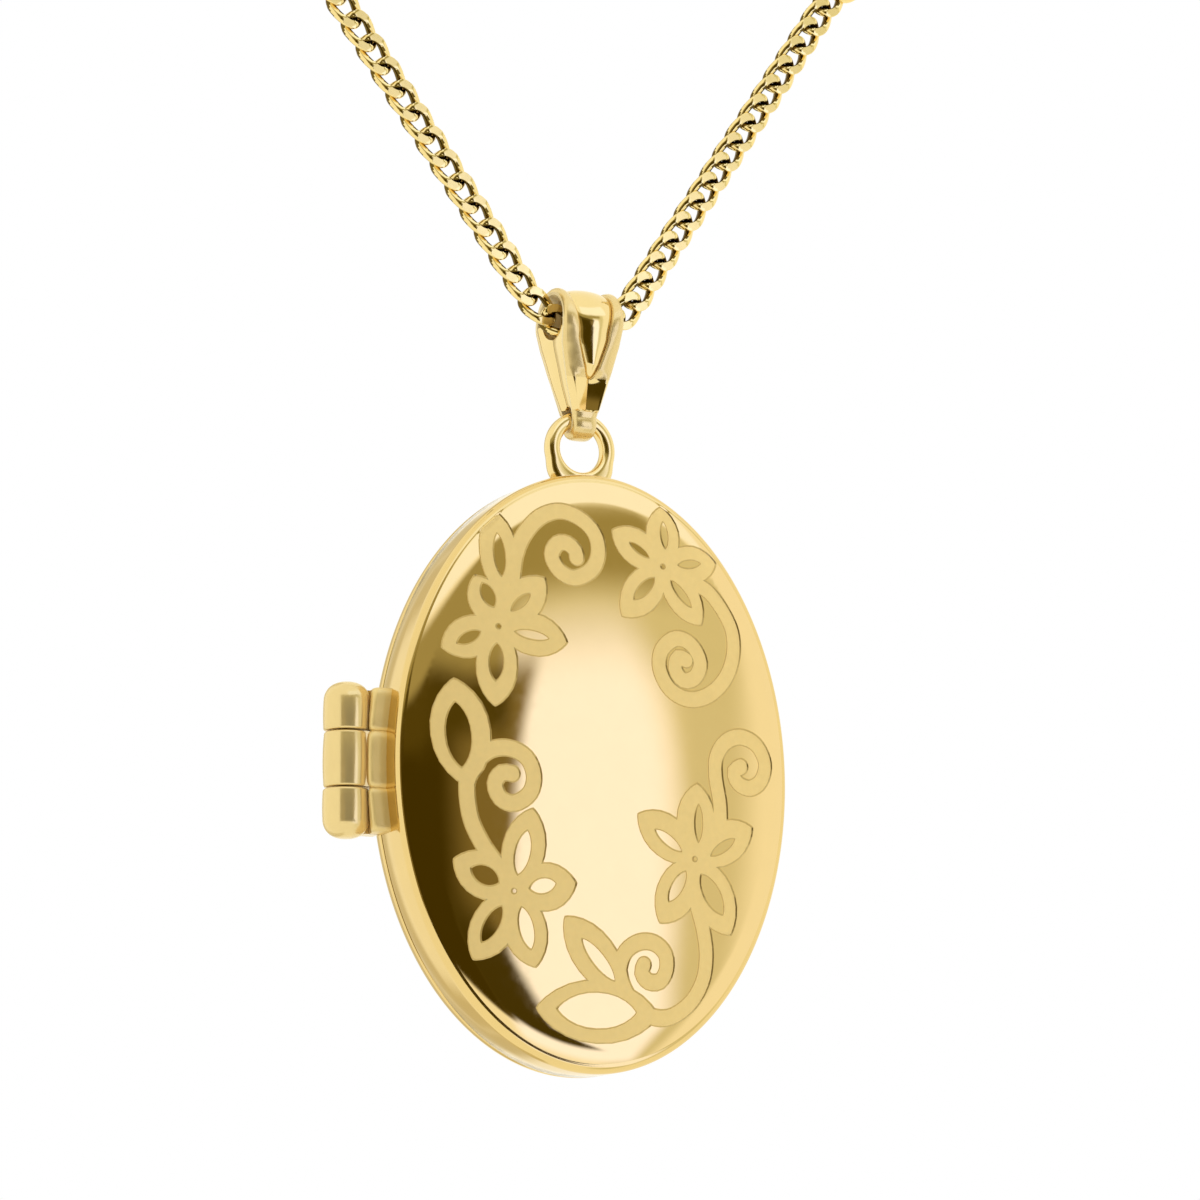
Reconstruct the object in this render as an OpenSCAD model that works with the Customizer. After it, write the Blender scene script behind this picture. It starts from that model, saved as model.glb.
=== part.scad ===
// Oval engraved locket hanging from its bail on a curb chain.
// Millimetres. The origin is the lowest point of the chain's centre line, where it
// carries the bail. +Z is up, the decorated face looks along -Y, the hinge is at -X.

/* [Locket body] */
// Height of the oval body
body_h = 30; // [26:0.5:34]
// Width of the oval body as a share of its height
body_ratio = 0.723; // [0.7:0.005:0.76]
// Depth of the front half's straight wall and shoulder
front_depth = 2.55; // [2.3:0.05:3]
// Rise of the front half's crowned face
front_rise = 0.95; // [0.6:0.05:1.2]
// Radius of the front half's shoulder
front_shoulder = 0.5; // [0.48:0.02:0.7]
// Depth of the back half's rounded edge
back_depth = 1.6; // [1.4:0.05:1.9]
// Rise of the back half's crowned face
back_rise = 0.55; // [0.4:0.05:0.8]
// Thickness of the pressed sheet
sheet_t = 0.45; // [0.35:0.05:0.46]

/* [Hinge] */
// Radius of the hinge barrel
barrel_r = 1.17; // [1.05:0.01:1.25]
// Length of the middle knuckle
knuckle_mid = 2.8; // [2.4:0.1:3.2]
// Length of each outer knuckle
knuckle_end = 2.45; // [2.2:0.05:2.8]
// Radius of the hinge pin
pin_r = 0.4; // [0.3:0.05:0.5]

/* [Suspension] */
// Diameter of the chain across its links
chain_d = 1.6; // [1.2:0.1:1.6]
// Inside radius of the bail at the chain
bail_r = 1.27; // [1.27:0.01:1.3]
// Thickness of the bail's strip
bail_t = 0.45; // [0.35:0.05:0.5]
// Centre-line radius of the soldered top loop
loop_r = 1.58; // [1.5:0.02:1.7]
// Wire radius of the soldered top loop
loop_wire = 0.34; // [0.28:0.02:0.36]

/* [Clasp] */
// Centre-line radius of the spring ring
clasp_r = 2.3; // [2.2:0.1:2.6]
// Radius of the hole in the end tag
tag_hole_r = 1; // [0.8:0.05:1.1]

/* [Hidden] */

$fn = 96;
gold = "#e3c078";
gold_dark = "#c9a45a";

// Body: the loop's centre sits just above the oval, which hangs from it
half_h = body_h / 2;
loop_drop = 6.3;
body_z = -loop_drop - loop_r - half_h;
seam_y = 0.6;
oval_step = 3;
crown_fn = 1440;

// Hinge: the barrel stands clear of the oval's left edge
barrel_gap = 0.41;
hinge_x = -half_h * body_ratio - barrel_gap - barrel_r;
joint_gap = 0.05;
barrel_z = knuckle_mid / 2 + knuckle_end;
pin_end = barrel_z - 0.7;
running_gap = 0.04;
edge_round = 0.12;
dome_round = 0.8;
leaf_depth = 0.95;
leaf_len = 2.1;
seat_t = 0.3;
seat_depth = 1.25;

// Inner lip: a rim in the back half, with a flange that backs its picture
lip_gap = 0.07;
lip_t = 0.38;
lip_in = half_h - sheet_t - lip_gap - lip_t;
lip_front = 0.9;
lip_back = 0.35;
flange_d = 0.25;
flange_t = 0.15;
flange_w = 1.2;

// Picture stacks: frame, window and picture, measured from the seam into each half
frame_w = 1.7;
frame_t = 0.45;
window_t = 0.2;
picture_t = 0.15;
insert_gap = 0.05;
front_frame_d = 1;
back_frame_d = flange_d - picture_t - window_t - frame_t;

// Bail: a teardrop strip with the chain in its round top and the loop's wire below
loop_top = -loop_drop + loop_r;
eye_r = 0.45;
eye_z = loop_top - loop_wire - 0.09 + eye_r;
foot_r = 0.78;
foot_z = eye_z - 0.35;
bail_outline = [[1.2, 1.9], [1.45, 1.5], [1.65, 0], [1.58, -1.1], [1.13, -3.1], [0.57, -4.65], [0.36, -6]];
collar_r = 0.5;
collar_h = 0.45;
collar_gap = 0.12;

// Solder seat of the top loop: as high as the ring's lower quarter
loop_seat_t = 0.5;
loop_seat_top = 0.45;
solder = 0.3;

// Chain: the route of its centre line in the plane of the body, right end first
route = [
    [15, 19.75], [13, 16.75], [11, 13.7], [9, 10.7], [7, 7.65], [5, 4.65], [4, 3.1], [3.1, 1.75],
    [2.55, 1.05], [1.8, 0.5], [0.95, 0.15], [0, 0], [-0.95, 0.15], [-1.8, 0.5], [-2.55, 1.05],
    [-3.1, 1.7], [-4, 2.9], [-5, 4.25], [-7, 6.9], [-9, 9.55], [-11, 12.2], [-13, 14.85], [-15, 17.5]
];
tube_sides = 8;
right_end = route[0];
left_end = route[len(route) - 1];
right_lean = atan2(right_end[0] - route[1][0], right_end[1] - route[1][1]);
left_lean = atan2(left_end[0] - route[len(route) - 2][0], left_end[1] - route[len(route) - 2][1]);

// Ends of the chain: jump rings, end tag and spring ring, along each strand
jump_r = 0.95;
jump_wire = 0.28;
link_z = 2.07;
small_eye_r = 0.75;
small_eye_wire = 0.25;
case_wire = 0.6;
case_bore = 0.42;
bolt_wire = 0.36;
clasp_z = link_z + small_eye_r + clasp_r + case_wire + 2 * running_gap;
mouth_from = 20;
mouth_to = 75;
bolt_from = 15;
bolt_to = 130;
lug_at = 112;
lug_r = 0.22;
lug_out = 0.75;
slot_margin = 7;
spring_from = 131;
spring_to = 230;
bolt_travel = 52;
tag_hook_r = 0.5;
tag_hook_wall = 0.45;
tag_wall = 0.7;
tag_t = 0.6;
tag_pitch = 2.9;

// Places its children on the seam: local x across, y up and z out of the chosen face
module on_seam(face = 1) {
    translate([0, seam_y, body_z]) rotate([face * 90, 0, 0]) children();
}

// Outline of the body at a radius measured along its height
module oval(r) {
    polygon([for (a = [0:oval_step:359]) r * [body_ratio * cos(a), sin(a)]]);
}

// Half section of a pan: straight wall, rounded shoulder and crowned floor
module pan_section(r, depth, shoulder, rise) {
    flat_r = r - shoulder;
    crown = (flat_r * flat_r + rise * rise) / (2 * rise);
    square([flat_r, depth]);
    if (depth > shoulder) square([r, depth - shoulder]);
    intersection() {
        translate([flat_r, depth - shoulder]) circle(shoulder, $fn = 64);
        square([r, depth]);
    }
    intersection() {
        translate([0, depth + rise - crown]) circle(crown, $fn = crown_fn);
        square([flat_r, depth + rise]);
    }
}

// Pressed oval sheet pan of even thickness, turned in four quarters
module pan(r, depth, shoulder, rise) {
    scale([body_ratio, 1, 1]) for (quarter = [0:3])
        rotate([0, 0, 90 * quarter]) rotate_extrude(angle = 90, $fn = 180) difference() {
            pan_section(r, depth, shoulder, rise);
            pan_section(r - sheet_t, depth - sheet_t, shoulder - sheet_t, rise);
        }
}

// Flat oval ring or disc between two distances from the seam
module oval_ring(r_out, r_in, from, to) {
    translate([0, 0, from]) linear_extrude(to - from) difference() {
        oval(r_out);
        if (r_in > 0) oval(r_in);
    }
}

// Round wire bent to a ring about the local z axis, over part of a turn
module wire_ring(r, wire, from = 0, sweep = 360) {
    rotate([0, 0, from]) rotate_extrude(angle = sweep) translate([r, 0]) circle(wire, $fn = 32);
}

// Places its children at a strand's end, local z along the strand
module at_end(end, lean) {
    translate([end[0], 0, end[1]]) rotate([0, lean, 0]) children();
}

// Hinge knuckle between two heights, with a rounded rim or a domed cap at each end
module knuckle(low, high, cap_low, cap_high, bore_r, bore_low, bore_high) {
    translate([hinge_x, seam_y, body_z]) difference() {
        rotate_extrude() polygon(concat(
            [[0, low]],
            [for (i = [0:6]) let (a = -90 + 15 * i)
                [barrel_r - cap_low + cap_low * cos(a), low + cap_low + cap_low * sin(a)]],
            [for (i = [0:6]) let (a = 15 * i)
                [barrel_r - cap_high + cap_high * cos(a), high - cap_high + cap_high * sin(a)]],
            [[0, high]]
        ));
        translate([0, 0, bore_low]) cylinder(r = bore_r, h = bore_high - bore_low);
    }
}

// Hinge leaf: a block from the barrel to the cover's edge, on one side of the seam
module leaf(low, high, y_from, y_to) {
    x_cover = -half_h * body_ratio;
    difference() {
        translate([hinge_x, seam_y + y_from, body_z + low])
            cube([x_cover - hinge_x + 0.8 * sheet_t * body_ratio, y_to - y_from, high - low]);
        translate([hinge_x, seam_y, body_z + low - 1])
            cylinder(r = barrel_r - edge_round, h = high - low + 2);
    }
}

// Direction of the route at a point, in its plane
function unit(v) = v / norm(v);
function route_dir(i) = let (n = len(route)) unit(
    (i > 0 ? unit(route[i] - route[i - 1]) : [0, 0]) + (i < n - 1 ? unit(route[i + 1] - route[i]) : [0, 0])
);
function tube_ring(i, r) = let (d = route_dir(i)) [
    for (s = [0:tube_sides - 1]) let (a = 360 * s / tube_sides)
        [route[i][0] + r * cos(a) * d[1], r * sin(a), route[i][1] - r * cos(a) * d[0]]
];

// Chain as one round tube along its route
module chain() {
    n = len(route);
    color(gold) polyhedron(
        points = [for (i = [0:n - 1]) each tube_ring(i, chain_d / 2)],
        faces = concat(
            [[for (s = [0:tube_sides - 1]) s]],
            [for (i = [0:n - 2], s = [0:tube_sides - 1]) let (t = (s + 1) % tube_sides)
                [i * tube_sides + t, i * tube_sides + s, (i + 1) * tube_sides + s, (i + 1) * tube_sides + t]],
            [[for (s = [tube_sides - 1:-1:0]) (n - 1) * tube_sides + s]]
        )
    );
}

module jump_ring() {
    translate([0, 0, jump_r]) rotate([90, 0, 0]) wire_ring(jump_r, jump_wire);
}

module end_jump_ring() {
    color(gold) at_end(right_end, right_lean) jump_ring();
}

module clasp_jump_ring() {
    color(gold) at_end(left_end, left_lean) jump_ring();
}

// Flat stamped tag with a small hole for the jump ring and a large one for the clasp
module end_tag() {
    hook_out = tag_hook_r + tag_hook_wall;
    hole_out = tag_hole_r + tag_wall;
    color(gold) at_end(right_end, right_lean) translate([-tag_t / 2, 0, link_z]) rotate([90, 0, 90])
        difference() {
            union() {
                cylinder(r = hook_out, h = tag_t);
                translate([0, tag_pitch, 0]) cylinder(r = hole_out, h = tag_t);
                translate([-hook_out, 0, 0]) cube([2 * hook_out, tag_pitch, tag_t]);
            }
            translate([0, 0, -1]) cylinder(r = tag_hook_r, h = tag_t + 2);
            translate([0, tag_pitch, -1]) cylinder(r = tag_hole_r, h = tag_t + 2);
        }
}

module clasp_eye() {
    color(gold) at_end(left_end, left_lean)
        translate([0, 0, link_z]) rotate([0, 90, 0]) wire_ring(small_eye_r, small_eye_wire);
}

module at_clasp() {
    at_end(left_end, left_lean) translate([0, 0, clasp_z]) rotate([90, 0, 0]) children();
}

// Hollow ring, open at the mouth, with a slot for the bolt's lug
module clasp_case() {
    slot_from = lug_at - slot_margin;
    slot_sweep = bolt_travel + 2 * slot_margin;
    color(gold) at_clasp() difference() {
        wire_ring(clasp_r, case_wire, mouth_to, 360 - mouth_to + mouth_from);
        wire_ring(clasp_r, case_bore, mouth_to - 1, spring_to - mouth_to + 1);
        wire_ring(clasp_r, case_bore, bolt_from - 3, mouth_from - bolt_from + 4);
        rotate([0, 0, slot_from]) rotate_extrude(angle = slot_sweep)
            translate([clasp_r, -lug_r - running_gap]) square([2 * case_wire, 2 * (lug_r + running_gap)]);
    }
}

module clasp_spring() {
    color("silver") at_clasp() wire_ring(clasp_r, bolt_wire - running_gap, spring_from, spring_to - spring_from);
}

// Curved bolt that closes the mouth, with its thumb lug
module clasp_bolt() {
    lug_len = case_wire + lug_out;
    color(gold) at_clasp() union() {
        wire_ring(clasp_r, bolt_wire, bolt_from, bolt_to - bolt_from);
        rotate([0, 0, lug_at]) translate([clasp_r, 0, 0]) rotate([0, 90, 0]) cylinder(r = lug_r, h = lug_len);
    }
}

// Two circles and their outer tangents
module teardrop(r_top, z_top, r_low, z_low) {
    lean = asin((r_top - r_low) / (z_top - z_low));
    translate([0, z_top]) circle(r_top);
    translate([0, z_low]) circle(r_low);
    polygon([
        [r_top * cos(lean), z_top - r_top * sin(lean)], [-r_top * cos(lean), z_top - r_top * sin(lean)],
        [-r_low * cos(lean), z_low - r_low * sin(lean)], [r_low * cos(lean), z_low - r_low * sin(lean)]
    ]);
}

// Outline of the bail from the front, as a prism through it
module bail_taper() {
    rotate([90, 0, 0]) linear_extrude(8, center = true) polygon(concat(
        bail_outline,
        [for (i = [len(bail_outline) - 1:-1:0]) [-bail_outline[i][0], bail_outline[i][1]]]
    ));
}

module bail() {
    color(gold) intersection() {
        rotate([90, 0, 90]) linear_extrude(4, center = true) difference() {
            teardrop(bail_r + bail_t, 0, foot_r, foot_z);
            teardrop(bail_r, 0, eye_r, eye_z);
        }
        bail_taper();
    }
}

// Band that closes the strip just above the top loop's wire
module bail_collar() {
    color(gold_dark) intersection() {
        translate([0, 0, loop_top + loop_wire + collar_gap]) cylinder(r = collar_r, h = collar_h);
        rotate([90, 0, 90]) linear_extrude(4, center = true) teardrop(bail_r, 0, eye_r, eye_z);
    }
}

module front_cover() {
    color(gold) on_seam(1) pan(half_h, front_depth, front_shoulder, front_rise);
}

module top_loop() {
    color(gold) translate([0, 0, -loop_drop]) rotate([90, 0, 0]) wire_ring(loop_r, loop_wire);
}

// Solder seat that carries the loop down onto the front half's wall
module loop_seat() {
    half_w = loop_r + loop_wire;
    color(gold) translate([0, 0, -loop_drop]) difference() {
        translate([-half_w, -loop_seat_t / 2, -loop_r - solder])
            cube([2 * half_w, loop_seat_t, loop_r + solder - loop_seat_top]);
        rotate([90, 0, 0]) cylinder(r = loop_r, h = 2, center = true);
        translate([0, 0, loop_drop]) on_seam(1) oval_ring(half_h - solder, 0, 0, front_depth);
    }
}

// Curved seat on the front half's wall, along the whole barrel
module hinge_seat() {
    half_len = barrel_z - seat_t;
    color(gold) on_seam(1) intersection() {
        oval_ring(half_h + seat_t, half_h - solder, joint_gap, seat_depth);
        translate([-half_h, -half_len, 0]) cube([half_h, 2 * half_len, seat_depth]);
    }
}

module hinge_front_leaf() {
    high = knuckle_mid / 2 - joint_gap;
    color(gold) leaf(-high, high, -leaf_depth, -joint_gap);
}

module knuckle_middle() {
    high = knuckle_mid / 2 - joint_gap;
    color(gold) knuckle(-high, high, edge_round, edge_round, pin_r + running_gap, -high - 1, high + 1);
}

module front_photo_frame() {
    r = half_h - sheet_t;
    color(gold_dark) on_seam(1) oval_ring(r, r - frame_w, front_frame_d, front_frame_d + frame_t);
}

module front_window() {
    from = front_frame_d + frame_t;
    color("white", 0.4) on_seam(1) oval_ring(half_h - sheet_t - insert_gap, 0, from, from + window_t);
}

module front_picture() {
    from = front_frame_d + frame_t + window_t;
    color("beige") on_seam(1) oval_ring(half_h - sheet_t - 2 * insert_gap, 0, from, from + picture_t);
}

module back_cover() {
    color(gold) on_seam(-1) pan(half_h, back_depth, back_depth, back_rise);
}

// Rim soldered in the back half that the front half closes over
module inner_lip() {
    color(gold_dark) on_seam(-1) union() {
        oval_ring(lip_in + lip_t, lip_in, -lip_front, lip_back);
        oval_ring(lip_in + lip_t / 2, lip_in - flange_w, flange_d, flange_d + flange_t);
    }
}

module hinge_back_leaves() {
    low = knuckle_mid / 2 + joint_gap;
    color(gold) for (side = [-1, 1])
        leaf(side > 0 ? low : -low - leaf_len, side > 0 ? low + leaf_len : -low, joint_gap, leaf_depth);
}

module knuckle_top() {
    low = knuckle_mid / 2 + joint_gap;
    color(gold) knuckle(low, barrel_z, edge_round, dome_round, pin_r, low - 1, pin_end);
}

module knuckle_bottom() {
    high = -knuckle_mid / 2 - joint_gap;
    color(gold) knuckle(-barrel_z, high, dome_round, edge_round, pin_r, -pin_end, high + 1);
}

module hinge_pin() {
    color("silver") translate([hinge_x, seam_y, body_z - pin_end]) cylinder(r = pin_r, h = 2 * pin_end);
}

module back_photo_frame() {
    color(gold_dark) on_seam(-1)
        oval_ring(lip_in, lip_in - frame_w, back_frame_d, back_frame_d + frame_t);
}

module back_window() {
    from = back_frame_d + frame_t;
    color("white", 0.4) on_seam(-1) oval_ring(lip_in - insert_gap, 0, from, from + window_t);
}

module back_picture() {
    color("beige") on_seam(-1) oval_ring(lip_in - insert_gap, 0, flange_d - picture_t, flange_d);
}

chain();
end_jump_ring();
end_tag();
clasp_jump_ring();
clasp_eye();
clasp_case();
clasp_spring();
clasp_bolt();
bail();
bail_collar();
front_cover();
top_loop();
loop_seat();
hinge_seat();
hinge_front_leaf();
knuckle_middle();
front_photo_frame();
front_window();
front_picture();
back_cover();
inner_lip();
hinge_back_leaves();
knuckle_top();
knuckle_bottom();
hinge_pin();
back_photo_frame();
back_window();
back_picture();
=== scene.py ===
"""Oval engraved locket on its curb chain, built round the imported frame.

Lengths in the code are millimetres, in the frame's own axes, and MM turns them into metres.
"""
import math

import bpy
import numpy as np
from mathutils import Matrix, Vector
from mathutils.geometry import delaunay_2d_cdt


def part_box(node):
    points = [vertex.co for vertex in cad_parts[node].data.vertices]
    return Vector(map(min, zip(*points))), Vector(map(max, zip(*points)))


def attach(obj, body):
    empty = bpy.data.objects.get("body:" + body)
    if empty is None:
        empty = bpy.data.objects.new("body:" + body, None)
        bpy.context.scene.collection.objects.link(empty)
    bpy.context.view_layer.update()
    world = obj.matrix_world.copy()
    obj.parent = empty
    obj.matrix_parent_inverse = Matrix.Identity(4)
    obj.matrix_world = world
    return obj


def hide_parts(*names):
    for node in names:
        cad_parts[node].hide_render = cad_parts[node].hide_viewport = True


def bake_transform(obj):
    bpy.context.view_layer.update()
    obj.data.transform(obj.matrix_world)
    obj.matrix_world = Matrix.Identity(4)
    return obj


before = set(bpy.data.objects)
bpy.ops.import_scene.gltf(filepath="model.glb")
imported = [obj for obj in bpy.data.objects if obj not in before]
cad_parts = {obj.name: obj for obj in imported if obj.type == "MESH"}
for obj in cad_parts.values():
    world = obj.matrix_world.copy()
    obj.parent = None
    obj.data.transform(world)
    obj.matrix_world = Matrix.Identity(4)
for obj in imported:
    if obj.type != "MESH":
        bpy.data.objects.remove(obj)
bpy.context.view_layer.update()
MM = 0.001


def box_mm(node):
    """Lowest and highest corner of a CAD node in millimetres."""
    low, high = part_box(node)
    return np.array(low) / MM, np.array(high) / MM


# Camera: the body's centre sits a little left of and below the picture's middle
AZIMUTH, ELEVATION = -27.0, -10.4
LENS, SENSOR = 150.0, 36.0
VIEW_WIDTH = 59.79
BODY_LEFT, BODY_BELOW = 1.036, 8.744


def make_camera():
    """Camera at the photo's angle, aimed by the front cover."""
    low, high = box_mm("front_cover")
    body = np.array([0.0, 0.0, (low[2] + high[2]) / 2])
    a, e = math.radians(AZIMUTH), math.radians(ELEVATION)
    back = np.array([math.sin(a) * math.cos(e), -math.cos(a) * math.cos(e), math.sin(e)])
    right = np.array([math.cos(a), math.sin(a), 0.0])
    up = np.cross(back, right)
    target = body + right * BODY_LEFT + up * BODY_BELOW
    data = bpy.data.cameras.new("camera")
    data.lens, data.sensor_width = LENS, SENSOR
    data.clip_start, data.clip_end = 0.01, 100
    camera = bpy.data.objects.new("camera", data)
    bpy.context.scene.collection.objects.link(camera)
    camera.location = (target + back * VIEW_WIDTH * LENS / SENSOR) * MM
    camera.rotation_euler = Vector(-back).to_track_quat("-Z", "Y").to_euler()
    bpy.context.scene.camera = camera


make_camera()


# ---- materials

def node_material(name):
    """New material, its node tree and its shader."""
    material = bpy.data.materials.new(name)
    material.use_nodes = True
    tree = material.node_tree
    return material, tree, tree.nodes["Principled BSDF"]


# Where most of a noise texture's values lie
NOISE_MIDDLE = (0.35, 0.65)


def noise(tree, scale, detail=3.0, stretch=(1, 1, 1)):
    """Noise over the object's own coordinates, scale in features per metre."""
    place = tree.nodes.new("ShaderNodeTexCoord")
    mapping = tree.nodes.new("ShaderNodeMapping")
    mapping.inputs["Scale"].default_value = stretch
    texture = tree.nodes.new("ShaderNodeTexNoise")
    texture.inputs["Scale"].default_value = scale
    texture.inputs["Detail"].default_value = detail
    tree.links.new(place.outputs["Object"], mapping.inputs["Vector"])
    tree.links.new(mapping.outputs["Vector"], texture.inputs["Vector"])
    return texture.outputs["Fac"]


def ramp(tree, factor, stops):
    """Colour ramp over a factor; stops are (place, colour)."""
    node = tree.nodes.new("ShaderNodeValToRGB")
    node.color_ramp.elements[0].position = stops[0][0]
    node.color_ramp.elements[1].position = stops[-1][0]
    for place, _ in stops[1:-1]:
        node.color_ramp.elements.new(place)
    for element, (_, colour) in zip(node.color_ramp.elements, stops):
        element.color = (*colour, 1)
    tree.links.new(factor, node.inputs["Fac"])
    return node.outputs["Color"]


def spread(tree, factor, low, high):
    """The factor's middle range mapped to low..high."""
    node = tree.nodes.new("ShaderNodeMapRange")
    node.inputs["From Min"].default_value, node.inputs["From Max"].default_value = NOISE_MIDDLE
    node.inputs["To Min"].default_value, node.inputs["To Max"].default_value = low, high
    tree.links.new(factor, node.inputs["Value"])
    return node.outputs["Result"]


def bump(tree, shader, height, distance):
    """Relief of so many millimetres on a shader."""
    node = tree.nodes.new("ShaderNodeBump")
    node.inputs["Distance"].default_value = distance * MM
    tree.links.new(height, node.inputs["Height"])
    tree.links.new(node.outputs["Normal"], shader.inputs["Normal"])


# Features per metre of a metal's soft waves and fine grain, and how much finer its gloss varies
WAVE_SCALE = 160
FINE_SCALE = 14000
GLOSS_FINER = 2.3


def metal(name, colour, rough, shade=0.94, grain=900, waves=0.0, fine=0.0, stretch=(1, 1, 1),
          metallic=1.0):
    """Metal with faint variation; soft waves and fine grain are in mm."""
    material, tree, shader = node_material(name)
    shader.inputs["Metallic"].default_value = metallic
    soft = noise(tree, grain, 4.0)
    darker = tuple(c * shade for c in colour)
    tree.links.new(ramp(tree, soft, [(0.3, darker), (0.7, colour)]), shader.inputs["Base Color"])
    tree.links.new(spread(tree, noise(tree, grain * GLOSS_FINER), *rough), shader.inputs["Roughness"])
    if waves:
        bump(tree, shader, noise(tree, WAVE_SCALE, 1.0), waves)
    elif fine:
        bump(tree, shader, noise(tree, FINE_SCALE, 2.0, stretch), fine)
    return material


GOLD = (0.845, 0.625, 0.285)
mirror_gold = metal("polished_gold", GOLD, (0.03, 0.06), shade=0.985, waves=0.004)
body_gold = metal("wall_gold", (0.81, 0.59, 0.235), (0.07, 0.12), shade=0.97, waves=0.004)
satin_gold = metal("satin_gold", (0.95, 0.70, 0.265), (0.50, 0.58), shade=0.96, grain=3000, fine=0.002,
                   metallic=0.45)
# Darker gold on the engraving's cut walls: painted shade along the cuts' edges
cut_edge_shade_gold = metal("engraving_edge_gold", (0.60, 0.42, 0.145), (0.30, 0.40), shade=0.9, grain=3000)
chain_gold = metal("chain_gold", (0.92, 0.72, 0.31), (0.08, 0.14), shade=0.95, grain=1500)
# Near-black gold on the links' inner and rear walls: painted shade where the links shadow each other
chain_shade = metal("chain_painted_shade", (0.15, 0.095, 0.015), (0.12, 0.20), shade=0.9, grain=1500)
hinge_gold = metal("hinge_gold", (0.86, 0.655, 0.285), (0.16, 0.20), shade=0.96, grain=700, waves=0.003,
                   metallic=0.62)
frame_gold = metal("frame_gold", (0.80, 0.60, 0.27), (0.14, 0.22), shade=0.95, fine=0.001,
                   stretch=(1, 1, 8))
pad_gold = metal("pad_gold", (0.93, 0.70, 0.28), (0.30, 0.36), shade=0.92, grain=700, waves=0.003,
                 metallic=0.4)
bail_soft_gold = metal("bail_soft_gold", (0.86, 0.65, 0.28), (0.20, 0.25), shade=0.96, waves=0.003,
                       metallic=0.6)
# Lighter, mostly diffuse gold inside the bail: painted light that lifts the shade inside the strip and
# round the chain
bail_inner_painted_light = metal("bail_inner_painted_light", (0.93, 0.76, 0.42), (0.42, 0.52), shade=0.96, fine=0.001,
                        metallic=0.15)
bail_gold = metal("bail_gold", (0.88, 0.68, 0.31), (0.09, 0.13), shade=0.97, waves=0.002)
steel = metal("spring_steel", (0.62, 0.62, 0.64), (0.18, 0.30), shade=0.9)


def make_acetate():
    """Clear sheet."""
    material, tree, shader = node_material("clear_acetate")
    shader.inputs["Base Color"].default_value = (0.86, 0.86, 0.83, 1)
    shader.inputs["Alpha"].default_value = 0.22
    shader.inputs["Specular IOR Level"].default_value = 1.0
    tree.links.new(spread(tree, noise(tree, 500), 0.02, 0.06), shader.inputs["Roughness"])
    return material


def make_paper():
    """Plain warm card in place of a picture."""
    material, tree, shader = node_material("picture_paper")
    tint = ramp(tree, noise(tree, 250, 5.0), [(0.3, (0.80, 0.74, 0.62)), (0.7, (0.90, 0.86, 0.78))])
    tree.links.new(tint, shader.inputs["Base Color"])
    shader.inputs["Roughness"].default_value = 0.55
    bump(tree, shader, noise(tree, 3000, 3.0), 0.004)
    return material


acetate = make_acetate()
paper = make_paper()


# ---- mesh helpers

def finish_piece(name, vertices, faces, materials, body, nodes=(), face_material=None,
                 sharp=35):
    """Piece of millimetre vertices, standing for CAD nodes and riding on its body if it has one."""
    mesh = bpy.data.meshes.new(name)
    mesh.from_pydata([tuple(v) for v in np.asarray(vertices, float) * MM], [], [tuple(f) for f in faces])
    mesh.validate()
    for material in materials:
        mesh.materials.append(material)
    if face_material is not None:
        mesh.polygons.foreach_set("material_index", np.asarray(face_material, np.int32))
    mesh.polygons.foreach_set("use_smooth", np.ones(len(mesh.polygons), bool))
    mesh.set_sharp_from_angle(angle=math.radians(sharp))
    mesh.update()
    piece = bpy.data.objects.new(name, mesh)
    bpy.context.scene.collection.objects.link(piece)
    if nodes:
        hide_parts(*nodes)
    if body:
        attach(piece, body)
    return piece


def grid_faces(rows, columns, wrap_rows=False, wrap_columns=True, offset=0):
    """Quads of a grid of rows x columns points, numbered row by row."""
    faces = []
    for i in range(rows if wrap_rows else rows - 1):
        for j in range(columns if wrap_columns else columns - 1):
            a, b = i * columns + j, i * columns + (j + 1) % columns
            c, d = (i + 1) % rows * columns + (j + 1) % columns, (i + 1) % rows * columns + j
            faces.append((a + offset, b + offset, c + offset, d + offset))
    return faces


def end_caps(count, columns):
    """Faces that close the first and the last ring of a grid of so many vertices."""
    return [tuple(range(columns))[::-1], tuple(range(count - columns, count))]


def arc(centre, radius, start, stop, count):
    """Points of an arc, angles in degrees."""
    return [
        (centre[0] + radius * math.cos(math.radians(a)), centre[1] + radius * math.sin(math.radians(a)))
        for a in np.linspace(start, stop, count)
    ]


def smooth_line(points, step):
    """Points every step or so along a smooth curve through the given points."""
    p = np.array(points, float)
    p = np.vstack([2 * p[0] - p[1], p, 2 * p[-1] - p[-2]])
    dense = []
    for i in range(1, len(p) - 2):
        count = max(2, int(round(np.linalg.norm(p[i + 1] - p[i]) / step)))
        for t in np.arange(count) / count:
            dense.append(0.5 * (
                2 * p[i] + (p[i + 1] - p[i - 1]) * t
                + (2 * p[i - 1] - 5 * p[i] + 4 * p[i + 1] - p[i + 2]) * t ** 2
                + (3 * p[i] - p[i - 1] - 3 * p[i + 1] + p[i + 2]) * t ** 3
            ))
    return np.array(dense + [p[-2]])


def lathe(profile, centre, count):
    """Turned surface about the vertical through centre; profile is (radius, height)."""
    angles = np.linspace(0, 2 * math.pi, count, endpoint=False)
    vertices = [
        (centre[0] + r * math.cos(a), centre[1] + r * math.sin(a), centre[2] + h)
        for r, h in profile for a in angles
    ]
    return vertices, grid_faces(len(profile), count)


# ---- chain

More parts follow.
